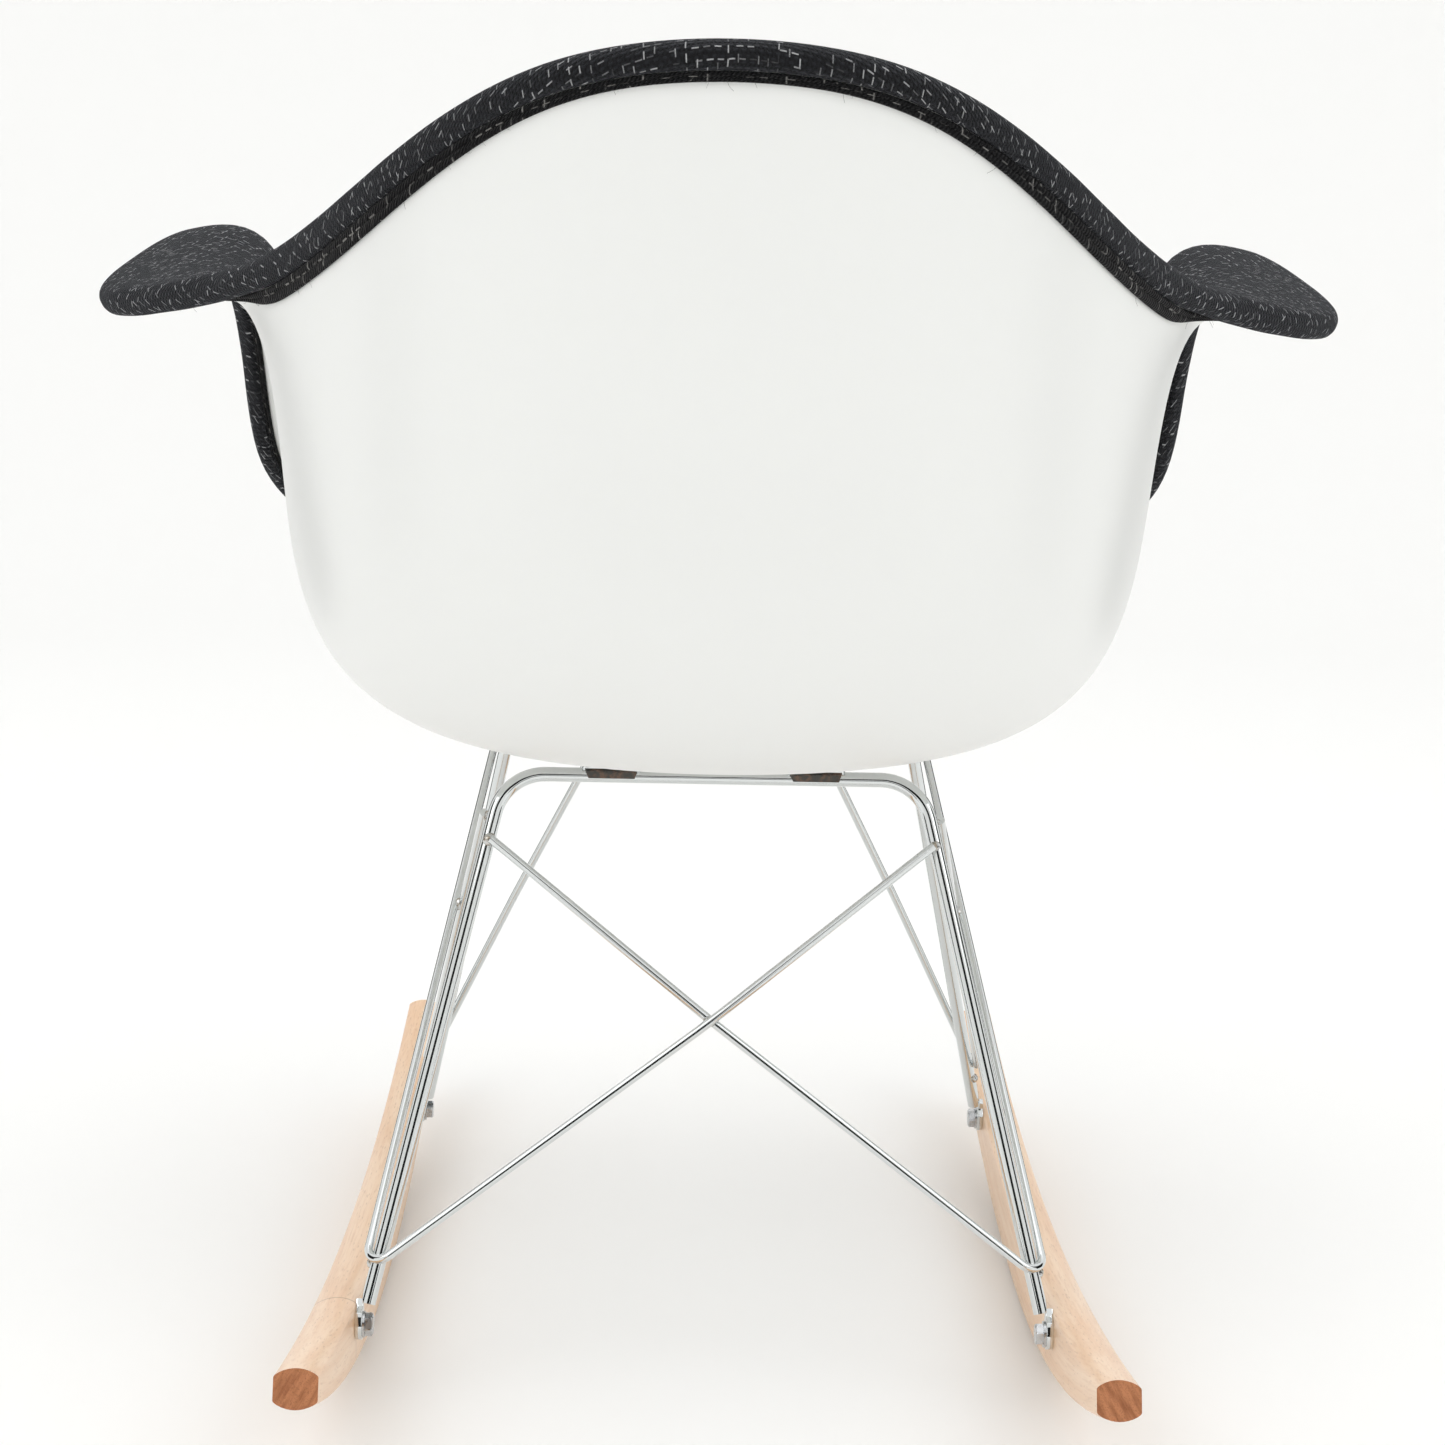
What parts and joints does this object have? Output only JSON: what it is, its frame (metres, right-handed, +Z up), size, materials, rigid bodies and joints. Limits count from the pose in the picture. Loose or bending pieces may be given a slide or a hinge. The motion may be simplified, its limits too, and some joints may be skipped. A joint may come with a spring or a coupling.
{
  "type": "rocking armchair",
  "caption": "Rocking armchair: a lined bucket shell with swept arms, on a bent-wire base joined to two curved wooden rockers.",
  "frame": {"origin": "on the floor, under the middle of the chair's box, with the rockers' lowest edges at z = 0", "axes": "+Z up, -Y the way the sitter faces, +X the sitter's left"},
  "size_m": [0.6514, 0.6793, 0.6574],
  "materials": {
    "shell_plastic": "satin",
    "foam": "matte",
    "tweed": "woven",
    "welt": "corded",
    "boss_plastic": "satin",
    "insert_brass": "knurled",
    "spacer_rubber": "matte",
    "zinc": "zinc plated",
    "chrome_rod": "polished",
    "weld": "plated weld",
    "beech": "clear lacquer"
  },
  "bodies": {
    "root": {"seat_shell": "shell_plastic", "foam_pad": "foam", "fabric_lining": "tweed", "fabric_rim": "tweed", "edge_welt": "welt", "shell_bosses": "boss_plastic", "boss_inserts": "insert_brass", "rubber_spacers": "spacer_rubber", "seat_screws": "zinc", "seat_washers": "zinc", "rear_hoop": "chrome_rod", "front_hoop": "chrome_rod", "left_rear_brace": "chrome_rod", "right_rear_brace": "chrome_rod", "left_front_brace": "chrome_rod", "right_front_brace": "chrome_rod", "rear_mount_plates": "chrome_rod", "front_mount_plates": "chrome_rod", "weld_beads": "weld", "left_rocker": "beech", "right_rocker": "beech", "rocker_bolts": "zinc", "rocker_washers": "zinc", "rocker_inserts": "insert_brass"}
  },
  "joints": []
}
